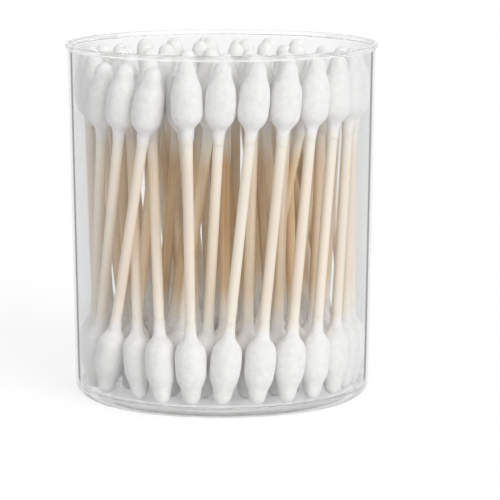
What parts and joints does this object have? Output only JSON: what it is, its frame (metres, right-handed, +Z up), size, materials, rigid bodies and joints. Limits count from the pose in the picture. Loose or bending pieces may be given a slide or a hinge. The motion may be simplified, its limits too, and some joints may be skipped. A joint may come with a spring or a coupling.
{
  "type": "cotton swab tub",
  "caption": "Open clear round tub with rolled rim, filled with upright wooden cotton swabs whose padded ends narrow to a rounded tip.",
  "frame": {"origin": "on the table, at the centre of the tub's foot", "axes": "+Z up along the tub's axis, -Y towards the front"},
  "size_m": [0.0686, 0.0686, 0.078],
  "materials": {
    "clear_plastic": "gloss",
    "cotton": "matte",
    "stick_wood": "satin"
  },
  "bodies": {
    "root": {"tub": "clear_plastic", "swab_01": "cotton", "swab_02": "cotton", "swab_03": "cotton", "swab_04": "cotton", "swab_05": "cotton", "swab_06": "cotton", "swab_07": "cotton", "swab_08": "cotton", "swab_09": "cotton", "swab_10": "cotton", "swab_11": "cotton", "swab_12": "cotton", "swab_13": "cotton", "swab_14": "cotton", "swab_15": "cotton", "swab_16": "cotton", "swab_17": "cotton", "swab_18": "cotton", "swab_19": "cotton", "swab_20": "cotton", "swab_21": "cotton", "swab_22": "cotton", "swab_23": "cotton", "swab_24": "cotton", "swab_25": "cotton", "swab_26": "cotton", "swab_27": "cotton", "swab_28": "cotton", "swab_29": "cotton", "swab_30": "cotton", "swab_31": "cotton", "swab_32": "cotton", "swab_33": "cotton", "swab_34": "cotton", "swab_35": "cotton", "swab_36": "cotton", "swab_37": "cotton", "swab_38": "cotton", "swab_39": "cotton", "swab_40": "cotton", "swab_41": "cotton", "swab_42": "cotton", "swab_43": "cotton", "swab_44": "cotton", "swab_45": "cotton", "swab_46": "cotton", "swab_47": "cotton", "swab_48": "cotton", "swab_49": "cotton", "swab_50": "cotton", "swab_51": "cotton", "swab_52": "cotton", "swab_53": "cotton", "swab_54": "cotton", "swab_55": "cotton", "swab_56": "cotton", "swab_57": "cotton", "swab_58": "cotton"}
  },
  "joints": []
}
